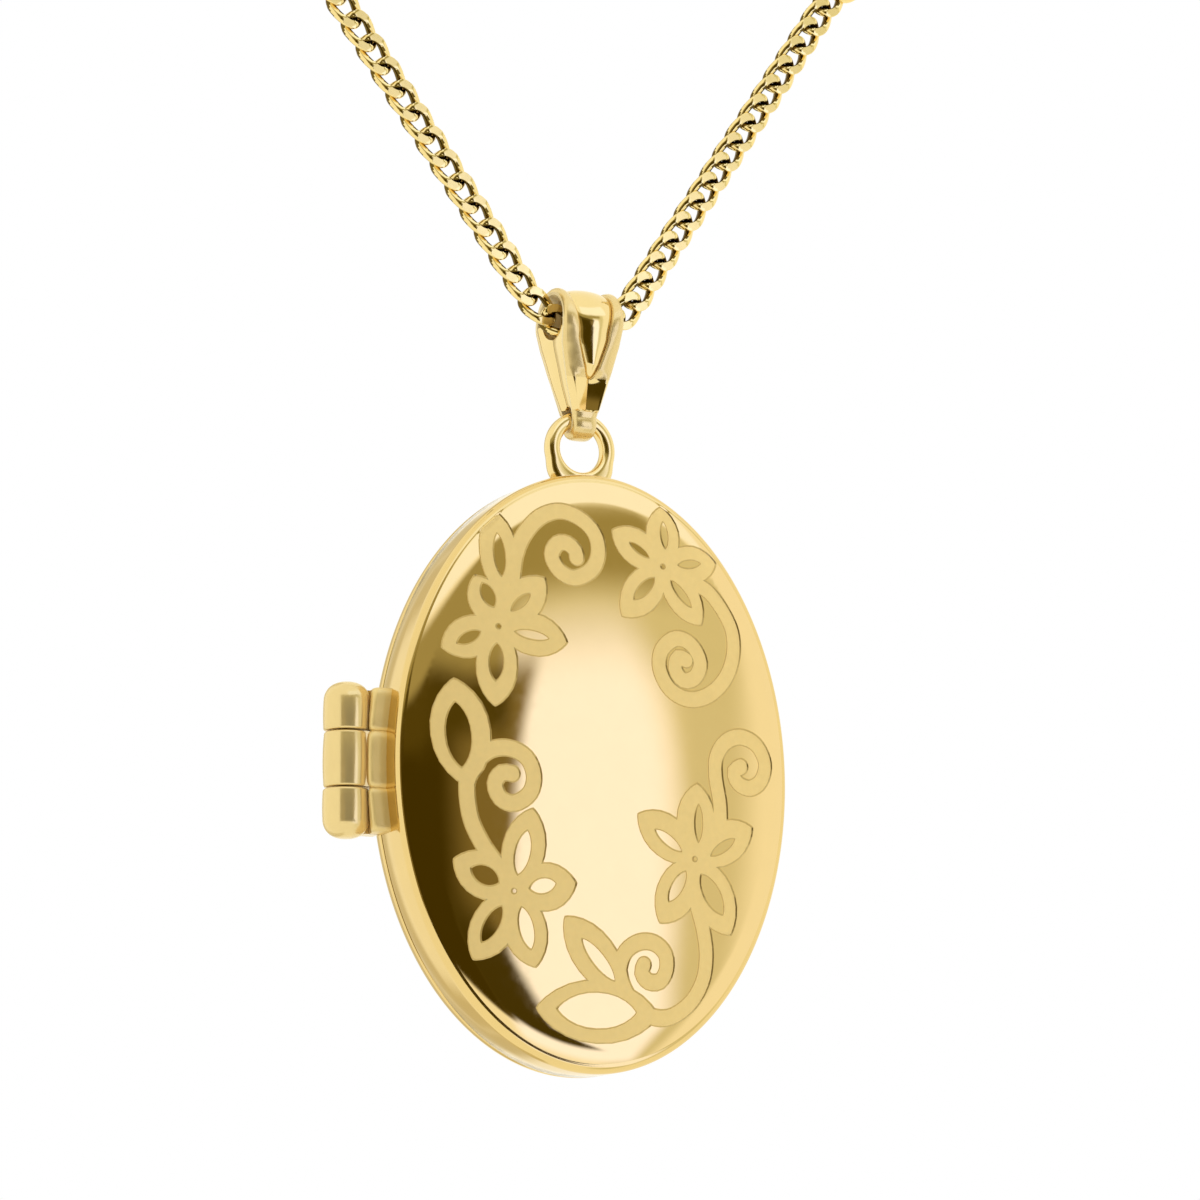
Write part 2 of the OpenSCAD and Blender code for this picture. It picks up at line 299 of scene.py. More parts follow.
# The route of part.scad's tube, in metres, right end first
ROUTE = [
    (0.015, 0.01975), (0.013, 0.01675), (0.011, 0.0137), (0.009, 0.0107), (0.007, 0.00765),
    (0.005, 0.00465), (0.004, 0.0031), (0.0031, 0.00175), (0.00255, 0.00105), (0.0018, 0.0005),
    (0.00095, 0.00015), (0, 0), (-0.00095, 0.00015), (-0.0018, 0.0005), (-0.00255, 0.00105),
    (-0.0031, 0.0017), (-0.004, 0.0029), (-0.005, 0.00425), (-0.007, 0.0069), (-0.009, 0.00955),
    (-0.011, 0.0122), (-0.013, 0.01485), (-0.015, 0.0175),
]
CHAIN_WIDTH = 1.6
LINK_WIRE = 0.46
LINK_PITCH = 1.36
LINK_FLAT = 0.31
LINK_TWIST = math.radians(40)
LINK_SQUARE = 0.62
CHAIN_FACING = np.array([0.02, -1.0, -0.04])
# How far ahead and behind a link looks for its direction
LINK_AIM = 0.4
# Faces in painted shade: how far behind a link's middle, and how little they may face along its normal
MIDDLE_BAND = 0.04
SIDEWAYS = 0.85

# Coil in the clasp's tube; angles are round the ring's centre, from +X towards +Z
CLASP_CENTRE = np.array([-18.494, 0, 22.129])
CLASP_R = 2.3
SPRING_FROM, SPRING_TO = math.radians(170.5), math.radians(266)
SPRING_COILS = 8
COIL_R = 0.25
COIL_WIRE = 0.05


def ring_point(angle, out=0.0, side=0.0):
    """Point by the clasp ring's centre line, in millimetres."""
    r = CLASP_R + out
    return CLASP_CENTRE + [r * math.cos(angle), side, r * math.sin(angle)]


def make_clasp_spring():
    """Coil spring in the clasp's tube, ahead of the bolt, round part of the ring."""
    steps, sides = SPRING_COILS * 16 + 1, 8
    centres = []
    for share in np.linspace(0, 1, steps):
        turn = 2 * math.pi * SPRING_COILS * share
        angle = SPRING_FROM + (SPRING_TO - SPRING_FROM) * share
        centres.append(ring_point(angle, COIL_R * math.cos(turn), COIL_R * math.sin(turn)))
    centres = np.array(centres)
    vertices = []
    for place, along in zip(centres, np.gradient(centres, axis=0)):
        along /= np.linalg.norm(along)
        out = place - CLASP_CENTRE
        out -= (out @ along) * along
        out /= np.linalg.norm(out)
        side = np.cross(along, out)
        turn = np.linspace(0, 2 * math.pi, sides, endpoint=False)[:, None]
        vertices += list(place + COIL_WIRE * (np.cos(turn) * out + np.sin(turn) * side))
    faces = grid_faces(steps, sides) + end_caps(len(vertices), sides)
    piece = finish_piece("clasp_coil", vertices, faces, [steel], None, ["clasp_spring"])
    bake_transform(piece)
    return piece


def curb_link(hand):
    """One link in its own axes (along, across, facing): vertices, faces and which faces get painted shade.

    It is twisted end to end, to one hand or the other, with cut flats on both sides.
    """
    turns, sides = 48, 16
    reach = (LINK_PITCH + LINK_WIRE) / 2
    half_width = (CHAIN_WIDTH - LINK_WIRE) / 2
    t = np.linspace(0, 2 * math.pi, turns, endpoint=False)
    ahead_part = np.sign(np.cos(t)) * np.abs(np.cos(t)) ** LINK_SQUARE
    side_part = np.sign(np.sin(t)) * np.abs(np.sin(t)) ** LINK_SQUARE
    turn = hand * LINK_TWIST * ahead_part
    width = half_width * side_part
    centre = np.stack([reach * ahead_part, width * np.cos(turn), width * np.sin(turn)], 1)
    forward = np.roll(centre, -1, 0) - np.roll(centre, 1, 0)
    forward /= np.linalg.norm(forward, axis=1)[:, None]
    out = np.stack([np.cos(t), np.sin(t) * np.cos(turn), np.sin(t) * np.sin(turn)], 1)
    out -= forward * (out * forward).sum(1)[:, None]
    out /= np.linalg.norm(out, axis=1)[:, None]
    side = np.cross(forward, out)
    around = np.linspace(0, 2 * math.pi, sides, endpoint=False) + math.pi / sides
    ring = centre[:, None] + LINK_WIRE / 2 * (
        np.cos(around)[None, :, None] * out[:, None] + np.sin(around)[None, :, None] * side[:, None]
    )
    ring[..., 2] = np.clip(ring[..., 2], -LINK_FLAT, LINK_FLAT)
    ring = ring.reshape(-1, 3)
    faces = grid_faces(turns, sides, wrap_rows=True)
    # Sideways faces that face the link's inside or lie behind its middle get the painted shade
    painted_shade_faces = []
    for face in faces:
        corners = ring[list(face)]
        lean = np.cross(corners[2] - corners[0], corners[3] - corners[1])
        inward = lean @ (centre[face[0] // sides] * [0.6, 1, 1]) < 0
        behind_middle = corners[:, 2].mean() < -MIDDLE_BAND
        sideways = abs(lean[2]) < SIDEWAYS * np.linalg.norm(lean)
        painted_shade_faces.append(int(sideways and (inward or behind_middle)))
    return ring, faces, painted_shade_faces


def make_chain():
    """Curb links along the route, the two strands twisted opposite ways."""
    line = smooth_line([(x / MM, 0, z / MM) for x, z in ROUTE], 0.05)
    along = np.concatenate([[0], np.cumsum(np.linalg.norm(np.diff(line, axis=0), axis=1))])

    def on_line(distance):
        return np.array([np.interp(distance, along, line[:, k]) for k in range(3)])

    ring_low, ring_high = box_mm("end_jump_ring")
    ring_wire = (ring_high[1] - ring_low[1]) / 2
    first = (LINK_PITCH + LINK_WIRE) / 2 - ring_wire - LINK_WIRE / 2
    count = int(round((along[-1] - 2 * first) / LINK_PITCH)) + 1
    links = {hand: curb_link(hand) for hand in (1, -1)}
    vertices, faces, kinds = [], [], []
    for s in np.linspace(first, along[-1] - first, count):
        place = on_line(s)
        tangent = on_line(s + LINK_AIM) - on_line(s - LINK_AIM)
        tangent /= np.linalg.norm(tangent)
        normal = CHAIN_FACING - tangent * (CHAIN_FACING @ tangent)
        normal /= np.linalg.norm(normal)
        across = np.cross(tangent, normal)
        ring, link_faces, painted_shade_faces = links[1 if place[0] < 0 else -1]
        faces += [tuple(v + len(vertices) for v in face) for face in link_faces]
        kinds += painted_shade_faces
        vertices += list(place + ring[:, :1] * tangent + ring[:, 1:2] * across + ring[:, 2:] * normal)
    piece = finish_piece(
        "curb_chain", vertices, faces, [chain_gold, chain_shade], "chain_and_ends",
        ["chain"], face_material=kinds, sharp=28,
    )
    end_nodes = ("end_jump_ring", "end_tag", "clasp_jump_ring", "clasp_eye", "clasp_case", "clasp_bolt")
    ends = [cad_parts[n] for n in end_nodes] + [make_clasp_spring()]


make_chain()


# ---- covers

front_low, front_high = box_mm("front_cover")
_, back_high = box_mm("back_cover")
SEAM_Y = front_high[1]
FRONT_DEEP = SEAM_Y - front_low[1]
BACK_DEEP = back_high[1] - SEAM_Y
HALF_H = (front_high[2] - front_low[2]) / 2
RATIO = (front_high[0] - front_low[0]) / 2 / HALF_H
CENTRE_Z = (front_high[2] + front_low[2]) / 2
SHEET = 0.45
OVAL_STEPS = 360

# Front face: its edge radius along the height, its depth there and how flat its crown is
FACE_R = 14.52
FACE_EDGE = 2.50
CROWN_POWER = 2.6
ROLL_FROM, ROLL_DROP = 0.92, 0.10
ENGRAVE_DEPTH = 0.045
ENGRAVE_EDGE = 0.07
STROKE = 0.76
PETAL_ROUND = 0.8
FACE_RINGS = 53
# Levels of the engraved face, and the material of each: polished, satin floor or the cut's edge in painted
# shade
POLISHED, CUT_WALL, CUT_FLOOR = 0, 1, 2
LEVEL_MATERIAL = {POLISHED: 0, CUT_WALL: 3, CUT_FLOOR: 2}


def oval_sweep(profile, side, steps=OVAL_STEPS):
    """Rings of vertices round the body; profile is (radius along the height, depth from the seam)."""
    angles = np.linspace(0, 2 * math.pi, steps, endpoint=False)
    vertices = [
        (RATIO * r * math.cos(a), SEAM_Y - side * d, CENTRE_Z + r * math.sin(a))
        for r, d in profile for a in angles
    ]
    faces = grid_faces(len(profile), steps)
    return vertices, faces if side > 0 else [f[::-1] for f in faces]


def face_depth(x, z):
    """Depth of the front face from the seam at a place on it."""
    rho = np.hypot(x / RATIO, z) / FACE_R
    roll = np.maximum(0, (rho - ROLL_FROM) / (1 - ROLL_FROM))
    rise = FRONT_DEEP - FACE_EDGE - ROLL_DROP
    return FRONT_DEEP - rise * rho ** CROWN_POWER - ROLL_DROP * roll ** 2


def face_normal(x, z):
    """Outward normals of the front face."""
    rho = np.maximum(np.hypot(x / RATIO, z) / FACE_R, 1e-6)
    rise = FRONT_DEEP - FACE_EDGE - ROLL_DROP
    roll = np.maximum(0, (rho - ROLL_FROM) / (1 - ROLL_FROM))
    steep = rise * CROWN_POWER * rho ** (CROWN_POWER - 1) + 2 * ROLL_DROP * roll / (1 - ROLL_FROM)
    slope = steep / rho / FACE_R ** 2
    normal = np.stack([slope * x / RATIO ** 2, -np.ones_like(x), slope * z], -1)
    return normal / np.linalg.norm(normal, axis=-1, keepdims=True)


def vesica(start, stop, half_width, grow):
    """Pointed oval between two points."""
    start, stop = np.array(start, float), np.array(stop, float)
    way = (stop - start) / np.linalg.norm(stop - start)
    start, stop = start - way * grow * 1.4, stop + way * grow * 1.4
    across = np.array([-way[1], way[0]])
    s = np.linspace(0, 1, 13)
    s = (1 - np.cos(math.pi * s)) / 2
    bulge = (half_width + grow) * (1 - np.abs(2 * s - 1) ** 2.2) ** PETAL_ROUND
    middle = start + np.outer(s, stop - start)
    right = middle - bulge[:, None] * across
    left = (middle + bulge[:, None] * across)[::-1]
    return [np.vstack([right, left[1:-1]])]


def stroke(points, grow):
    """Quads and round ends of a line of even width through the given points."""
    line = smooth_line(points, 0.22)
    way = np.gradient(line, axis=0)
    way /= np.linalg.norm(way, axis=1)[:, None]
    across = np.stack([-way[:, 1], way[:, 0]], 1) * (STROKE / 2 + grow)
    left, right = line + across, line - across
    shapes = [np.array([right[i], right[i + 1], left[i + 1], left[i]]) for i in range(len(line) - 1)]
    for end in (line[0], line[-1]):
        shapes.append(np.array(arc(end, STROKE / 2 + grow, 0, 337.5, 16)))
    return shapes


def disc(centre, radius, grow):
    """Round dot."""
    return [np.array(arc(centre, radius + grow, 0, 324, 10))]


# Engraving, as places on the face from its centre, across and up
FLOWERS = [
    # centre, then for each petal its tip and half width, and its slit's two ends and half width
    ((-5.7, 6.7), [
        ((-8.6, 5.5), 1.0, (-7.9, 5.7), (-6.6, 6.4), 0.32),
        ((-5.95, 2.75), 1.05, (-5.9, 3.9), (-5.8, 5.9), 0.42),
        ((-2.1, 6.15), 1.05, (-3.0, 6.25), (-4.9, 6.5), 0.27),
        ((-3.2, 9.3), 1.0, (-3.95, 8.5), (-5.05, 7.5), 0.27),
        ((-6.85, 9.15), 0.9, (-6.5, 8.9), (-5.9, 7.6), 0.38),
    ]),
    ((3.5, 10.5), [
        ((3.65, 13.6), 0.95, (3.65, 12.9), (3.7, 11.4), 0.25),
        ((0.7, 12.1), 0.95, (1.6, 11.6), (2.75, 10.85), 0.22),
        ((1.05, 7.75), 1.0, (1.7, 8.6), (3.0, 9.9), 0.33),
        ((5.6, 7.7), 0.95, (5.1, 8.5), (3.9, 9.85), 0.27),
        ((6.7, 11.0), 0.95, (5.8, 10.9), (4.35, 10.65), 0.25),
    ]),
    ((-4.85, -6.35), [
        ((-3.95, -2.3), 1.1, (-4.2, -3.3), (-4.7, -5.6), 0.44),
        ((-1.6, -5.8), 1.15, (-2.6, -5.85), (-4.1, -6.2), 0.42),
        ((-3.6, -9.95), 1.1, (-3.85, -9.2), (-4.45, -7.05), 0.42),
        ((-6.8, -9.7), 1.1, (-6.45, -8.95), (-5.45, -7.05), 0.42),
        ((-7.95, -4.95), 1.1, (-7.15, -5.3), (-5.6, -6.0), 0.5),
    ]),
    ((5.1, -4.2), [
        ((5.2, -0.45), 1.1, (5.3, -1.4), (5.3, -3.4), 0.27),
        ((1.85, -2.2), 1.05, (2.75, -2.85), (4.35, -3.9), 0.3),
        ((3.15, -7.45), 1.1, (3.6, -6.45), (4.6, -4.8), 0.36),
        ((7.3, -7.8), 1.2, (6.85, -6.9), (5.45, -4.9), 0.52),
        ((8.5, -2.4), 1.05, (7.5, -3.0), (6.0, -4.0), 0.28),
    ]),
]
LEAVES = [
    # outline's two ends and half width, slit's two ends and half width
    ((-5.5, 8.3), (-5.65, 12.6), 0.95, (-5.6, 11.5), (-5.45, 9.2), 0.34),
    ((-7.35, -1.3), (-8.05, 3.9), 1.5, (-8.0, 2.85), (-7.65, -0.5), 0.7),
    ((-3.4, -11.95), (3.2, -12.05), 1.5, (-2.4, -11.95), (2.05, -11.95), 0.93),
    ((-2.1, -7.5), (1.25, -11.1), 1.1, (-1.2, -8.45), (0.75, -10.5), 0.38),
]
STROKES = [
    [(-4.9, 9.2), (-4.65, 10.5), (-4.1, 11.6), (-3.2, 12.5), (-2.1, 12.85), (-1.0, 12.5), (-0.3, 11.75),
     (-0.2, 10.75), (-0.65, 9.9), (-1.6, 9.45), (-2.4, 9.8), (-2.75, 10.55), (-2.4, 11.15), (-1.85, 11.2),
     (-1.45, 10.85), (-1.4, 10.5)],
    [(5.4, 9.8), (6.2, 9.4), (7.0, 8.5), (7.5, 7.5), (7.5, 6.3), (7.0, 5.1), (6.0, 4.15), (4.8, 3.8),
     (3.7, 4.2), (3.1, 5.2), (3.25, 6.2), (4.1, 6.85), (5.0, 6.6), (5.5, 5.75), (5.15, 4.95), (4.45, 4.75),
     (4.0, 5.3), (4.2, 5.9), (4.65, 5.8)],
    [(-7.4, -1.2), (-7.0, -0.2), (-6.2, 0.5), (-5.2, 0.65), (-4.3, 0.25), (-3.9, -0.6), (-4.1, -1.5),
     (-4.9, -2.05), (-5.65, -1.85), (-5.95, -1.15), (-5.6, -0.6), (-5.05, -0.6)],
    [(-7.4, -0.9), (-7.35, -2.0), (-7.1, -3.1), (-6.5, -4.2), (-5.7, -5.2)],
    [(1.0, -10.9), (0.95, -9.85), (1.25, -9.0), (2.0, -8.5), (2.85, -8.5), (3.5, -9.0), (3.6, -9.75),
     (3.25, -10.35), (2.6, -10.4), (2.2, -10.0), (2.3, -9.6)],
    [(0.9, -9.8), (1.2, -10.7), (1.9, -11.6), (2.9, -12.1), (4.0, -12.05), (5.1, -11.3), (5.75, -10.2),
     (5.9, -9.0), (5.7, -7.8), (5.3, -6.6)],
    [(6.6, -2.6), (6.55, -1.3), (6.3, 0.0), (6.35, 1.0), (6.9, 1.8), (7.8, 2.15), (8.8, 1.85), (9.35, 0.95),
     (9.1, 0.05), (8.4, -0.4), (7.65, -0.2), (7.4, 0.35), (7.85, 0.65)],
]


def engraved_shapes(grow):
    """Filled shapes of the engraving, and the polished islands left in them."""
    filled, islands = [], []
    for centre, petals in FLOWERS:
        for tip, half, slit_out, slit_in, slit_half in petals:
            filled += vesica(centre, tip, half, grow)
            islands += vesica(slit_out, slit_in, slit_half, -grow)
        islands += disc(centre, 0.17, -grow)
    for start, stop, half, slit_start, slit_stop, slit_half in LEAVES:
        filled += vesica(start, stop, half, grow)
        islands += vesica(slit_start, slit_stop, slit_half, -grow)
    for points in STROKES:
        filled += stroke(points, grow)
    return filled, islands


def face_outlines():
    """Places on the face, and the closed outlines through them with their kinds."""
    angles = np.linspace(0, 2 * math.pi, OVAL_STEPS, endpoint=False)
    rim = np.stack([RATIO * FACE_R * np.cos(angles), FACE_R * np.sin(angles)], 1)
    points, outlines, kinds = [tuple(p) for p in rim], [list(range(OVAL_STEPS))], ["rim"]
    for share in np.arange(1, FACE_RINGS) / FACE_RINGS:
        count = max(12, int(OVAL_STEPS * share * 0.5))
        turn = np.linspace(0, 2 * math.pi, count, endpoint=False) + share
        points += [(RATIO * FACE_R * share * math.cos(a), FACE_R * share * math.sin(a)) for a in turn]
    for grow, prefix in ((0.0, "floor"), (ENGRAVE_EDGE, "edge")):
        for kind, shapes in zip(("fill", "island"), engraved_shapes(grow)):
            for shape in shapes:
                ahead = np.roll(shape, -1, 0)
                area = (shape[:, 0] * ahead[:, 1] - shape[:, 1] * ahead[:, 0]).sum()
                shape = shape if area > 0 else shape[::-1]
                outlines.append(list(range(len(points), len(points) + len(shape))))
                points += [tuple(p) for p in shape]
                kinds.append(f"{prefix}_{kind}")
    return points, outlines, kinds


def engraving_level(kinds):
    """Level of a triangle inside these kinds of outline."""
    if "floor_fill" in kinds and "floor_island" not in kinds:
        return CUT_FLOOR
    if "edge_fill" in kinds and "edge_island" not in kinds:
        return CUT_WALL
    return POLISHED


def make_front_face():
    """Engraved crowned face: vertices, triangles, their levels and normals."""
    points, outlines, kinds = face_outlines()
    flat, _, triangles, _, _, sources = delaunay_2d_cdt(
        [Vector(p) for p in points], [], outlines, 1, 1e-4
    )
    flat = np.array([tuple(p) for p in flat])
    levels = [engraving_level({kinds[k] for k in source}) for source in sources]
    touching = np.zeros((len(flat), 3), bool)
    for triangle, level in zip(triangles, levels):
        touching[list(triangle), level] = True
    on_face, on_floor = touching[:, POLISHED], touching[:, CUT_FLOOR]
    sunk = np.where(on_face, 0.0, np.where(on_floor, 1.0, 0.5)) * ENGRAVE_DEPTH
    x, z = flat[:, 0], flat[:, 1]
    vertices = np.stack([x, SEAM_Y - face_depth(x, z) + sunk, CENTRE_Z + z], 1)
    return vertices, [tuple(t) for t in triangles], levels, face_normal(x, z)


def front_cover_profile():
    """From the face's edge down the wall, then up the inside to its middle."""
    wall = [(14.90, 0.02), (14.97, 0.04), (15.0, 0.10), (15.0, 1.2), (15.0, 2.0)]
    shoulder = arc((14.55, 2.04), 0.45, 4, 84, 16)
    inner_r, floor = HALF_H - SHEET, FACE_EDGE - SHEET
    corner_r = 0.35
    inside = [(inner_r, 0.02), (inner_r, floor - corner_r)]
    inside += arc((inner_r - corner_r, floor - corner_r), corner_r, 0, 90, 6)[1:]
    crown = FRONT_DEEP - FACE_EDGE
    inside += [(r, floor + crown * (1 - (r / inner_r) ** 2)) for r in (12, 9, 6, 3, 0.02)]
    return [(FACE_R, FACE_EDGE)] + shoulder[::-1][:-1] + wall[::-1] + inside


def set_face_normals(mesh, exact):
    """Exact normals on the polished face and the satin floor, flat ones on the cut's edge."""
    corner = np.zeros(len(mesh.loops) * 3, np.float32)
    mesh.corner_normals.foreach_get("vector", corner)
    corner = corner.reshape(-1, 3)
    vertex_of = np.zeros(len(mesh.loops), np.int32)
    mesh.loops.foreach_get("vertex_index", vertex_of)
    smooth = (LEVEL_MATERIAL[POLISHED], LEVEL_MATERIAL[CUT_FLOOR])
    for polygon in mesh.polygons:
        for loop in polygon.loop_indices:
            if polygon.material_index in smooth:
                corner[loop] = exact[int(vertex_of[loop])]
            elif polygon.material_index == LEVEL_MATERIAL[CUT_WALL]:
                corner[loop] = polygon.normal
    mesh.normals_split_custom_set([tuple(n) for n in corner])


def make_front_cover():
    """Engraved face and the pressed shell round it, welded along the face's edge."""
    face_vertices, face_triangles, levels, normals = make_front_face()
    ring_vertices, ring_faces = oval_sweep(front_cover_profile(), 1)
    index = np.arange(len(ring_vertices)) + len(face_vertices)
    for i, place in enumerate(np.array(ring_vertices[:OVAL_STEPS])):
        index[i] = int(np.argmin(((face_vertices - place) ** 2).sum(1)))
    faces = face_triangles + [tuple(int(index[v]) for v in f[::-1]) for f in ring_faces]
    faces.append(tuple(int(v) for v in index[-OVAL_STEPS:]))
    vertices = np.vstack([face_vertices, ring_vertices])
    used = np.unique(np.concatenate([np.array(f) for f in faces]))
    renumber = np.full(len(vertices), -1)
    renumber[used] = np.arange(len(used))
    faces = [tuple(int(renumber[v]) for v in f) for f in faces]
    materials = [LEVEL_MATERIAL[level] for level in levels]
    materials += [1] * (len(faces) - len(face_triangles))
    piece = finish_piece(
        "engraved_front_cover", vertices[used], faces, [mirror_gold, body_gold, satin_gold, cut_edge_shade_gold],
        "front_half", ["front_cover"], face_material=materials,
    )
    exact = {int(renumber[i]): normals[i] for i in range(len(face_vertices)) if renumber[i] >= 0}
    set_face_normals(piece.data, exact)


def back_cover_profile():
    """From the middle of the back over its edge to the seam, then back inside."""
    outer = [(14.90, 0.02), (14.97, 0.05), (15.0, 0.12)]
    edge_r, edge_d = 1.45, BACK_DEEP - 0.55 - 0.12
    outer += [(HALF_H - edge_r * (1 - math.cos(a)), 0.12 + edge_d * math.sin(a))
              for a in np.linspace(0.1, math.pi / 2 - 0.16, 18)]
    rim_r, rim_d = outer[-1]
    outer += [(rim_r * s, rim_d + (BACK_DEEP - rim_d) * (1 - s ** 2))
              for s in np.linspace(0.98, 0.002, 26)]
    inner_r, deep = HALF_H - SHEET, BACK_DEEP - SHEET
    inner = [(inner_r, 0.02)]
    inner += [(inner_r - 1.15 * (1 - math.cos(a)), 0.02 + (deep - 0.55) * math.sin(a))
              for a in np.linspace(0.15, math.pi / 2, 9)]
    inner_edge_r, inner_edge_d = inner[-1]
    inner += [(inner_edge_r * s, inner_edge_d + (deep - inner_edge_d) * (1 - s ** 2))
              for s in np.linspace(0.9, 0.002, 10)]
    return outer[::-1] + inner


def make_back_cover():
    """Plain, softly domed back shell with a closed inside."""
    vertices, faces = oval_sweep(back_cover_profile(), -1)
    faces = [f[::-1] for f in faces] + end_caps(len(vertices), OVAL_STEPS)
    finish_piece("back_shell", vertices, faces, [body_gold], "back_half",
                 ["back_cover"])


make_front_cover()
make_back_cover()


# ---- bail, loop and hinge

# The loop's wire: how much fuller than the CAD's, how square (1 is round), and its foot's fillet
LOOP_FULLER = 1.1
LOOP_SQUARE = 0.72
LOOP_FILLET = 0.42


def squared(wave):
    """Sine or cosine pushed towards its ends, which squares a circle off."""
    return np.sign(wave) * np.abs(wave) ** LOOP_SQUARE


def tube_ring(radius, wire, turns=128, sides=28):
    """Torus about the Y axis through the origin, of squared wire."""
    t = np.linspace(0, 2 * math.pi, turns, endpoint=False)
    s = np.linspace(0, 2 * math.pi, sides, endpoint=False)
    r = radius + wire * squared(np.cos(s))[None, :]
    x, z = r * np.cos(t)[:, None], r * np.sin(t)[:, None]
    y = np.broadcast_to(wire * squared(np.sin(s))[None, :], x.shape)
    return np.stack([x, y, z], -1).reshape(-1, 3), grid_faces(turns, sides, wrap_rows=True)


def make_top_loop():
    """Loop whose foot swells into a solder fillet where it meets the wall."""
    low, high = box_mm("top_loop")
    centre = (low + high) / 2
    wire = (high[1] - low[1]) / 2 * LOOP_FULLER
    radius = (high[2] - low[2]) / 2 - wire
    vertices, faces = tube_ring(radius, wire)
    wall_top = CENTRE_Z + HALF_H - centre[2]
    x, y, z = vertices.T
    angle = np.arctan2(z, x)
    foot = np.clip((-np.sin(angle) - 0.25) / 0.6, 0, 1)
    foot = foot * foot * (3 - 2 * foot)
    r = np.hypot(x, z)
    outward = np.clip((r - radius) / wire, 0, 1)
    grown = r + foot * outward * LOOP_FILLET * np.abs(np.cos(angle)) ** 0.5
    x, z = grown * np.cos(angle), np.maximum(grown * np.sin(angle), wall_top - 0.25)
    y = y * (1 + 0.25 * foot * outward)
    vertices = np.stack([x, y, z], -1) + centre
    finish_piece("soldered_loop", vertices, faces, [bail_gold], "front_half",
                 ["top_loop", "loop_seat"], sharp=60)


# Bail: half widths of its front outline by height, top first
BAIL_OUTLINE = [
    (2.3, 1.5), (1.5, 1.62), (0, 1.68), (-1.1, 1.58),
    (-3.1, 1.13), (-4.65, 0.66), (-5.4, 0.62), (-6, 0.5),
]
# Inner radii round the chain and round the loop, and the height of the lower one's centre
BAIL_IN_TOP, BAIL_IN_LOW, BAIL_EYE_Z = 1.27, 0.45, -4.70
# Middle flute: the height of its pointed end and its half width
TONGUE_END, TONGUE_HALF = -2.8, 0.5
# Side ribs: the strip's thickness, the ribs' height, how far they flare, their columns on each side
RIB_BASE, RIB_HIGH = 0.14, 0.40
RIB_FLARE = 0.26
RIB_COLUMNS = 24
COLLAR_TOP = -4.38
# Side walls: their thickness, the slit between them, the hole for the chain and the loop's eye
SIDE_WALL, SLIT_HALF = 0.14, 0.012
HOLE_Z, HOLE_HALF, HOLE_DROP = 0.1, 1.05, 0.85
EYE_R = 0.52


def bail_half(z):
    """Half width of the bail at a height."""
    heights, halves = zip(*sorted(BAIL_OUTLINE))
    return np.interp(z, heights, halves)


def smooth_step(value, low, high):
    """0 below low, 1 above high, and an even S between them."""
    t = np.clip((value - low) / (high - low), 0, 1)
    return t * t * (3 - 2 * t)


def bail_path():
    """The bail's inner surface from the side: points and outward normals."""
    lean = math.asin((BAIL_IN_TOP - BAIL_IN_LOW) / -BAIL_EYE_Z)
    points, normals = [], []
    for a in np.linspace(1.5 * math.pi, math.pi + lean, 14):
        normals.append((math.cos(a), math.sin(a)))
        points.append((BAIL_IN_LOW * math.cos(a), BAIL_EYE_Z + BAIL_IN_LOW * math.sin(a)))
    n = np.array([math.cos(math.pi + lean), math.sin(math.pi + lean)])
    begin = np.array([0, BAIL_EYE_Z]) + BAIL_IN_LOW * n
    for s in np.linspace(0, 1, 80)[1:-1]:
        points.append(tuple(begin + s * (BAIL_IN_TOP * n - begin)))
        normals.append(tuple(n))
    for a in np.linspace(math.pi + lean, math.pi / 2, 34):
        normals.append((math.cos(a), math.sin(a)))
        points.append((BAIL_IN_TOP * math.cos(a), BAIL_IN_TOP * math.sin(a)))
    points += [(-y, z) for y, z in points[-2:0:-1]]
    normals += [(-y, z) for y, z in normals[-2:0:-1]]
    return np.array(points), np.array(normals)


def rib_relief(inward, z):
    """Thickness across a side rib: a dome, lower down a ridge at its outer edge."""
    dome = np.sqrt(1 - (1 - inward) ** 2.4) * (1 - 0.55 * np.clip((inward - 0.9) / 0.1, 0, 1) ** 2)
    ridge = np.sin(np.clip(inward / 0.3, 0, 1) * math.pi / 2)
    ridge = ridge * (1 - 0.9 * np.clip((inward - 0.24) / 0.76, 0, 1))
    low = smooth_step(-z, 2.2, 3.1)
    return RIB_BASE + RIB_HIGH * (dome * (1 - low) + ridge * low)


def tongue_relief(turn, half):
    """Thickness across the middle flute, which flattens as it narrows to its point."""
    crown = (RIB_HIGH + 0.1) * (0.45 + 0.55 * np.sin(turn) ** 1.3)
    return RIB_BASE + crown * min(1, half / 0.3)


def collar_relief(share, z):
    """Thickness across the collar, fuller where it passes under the loop."""
    barrel = 0.34 * np.clip(1 - np.abs(share) ** 4, 0, 1) ** 0.5 + 0.05
    return barrel + 0.30 * smooth_step(-z, -BAIL_EYE_Z, -BAIL_EYE_Z + BAIL_IN_LOW)


def bail_section(z):
    """Across the strip at a height: place, thickness and flare of each column."""
    tongue = TONGUE_HALF + 0.2 * smooth_step(z, -0.5, 1.2)
    tongue *= math.sqrt(min(1, max(0.0004, (z - TONGUE_END) / 2.0)))
    turn = np.linspace(0, math.pi, RIB_COLUMNS + 1)
    inward = (1 - np.cos(turn)) / 2
    rib = rib_relief(inward, z)
    left = -1 + inward * (1 - tongue)
    share = np.concatenate([left, -np.cos(turn)[1:-1] * tongue, -left[::-1]])
    thick = np.concatenate([rib, tongue_relief(turn, tongue)[1:-1], rib[::-1]])
    collar = smooth_step(-z, -COLLAR_TOP - 0.02, -COLLAR_TOP + 0.04)
    thick = thick * (1 - collar) + collar_relief(share, z) * collar
    beside = np.clip((np.abs(share) - tongue) / (1 - tongue), 0, 1)
    flare = RIB_FLARE * beside * smooth_step(z, -1.6, 1.2)
    return share, thick, flare


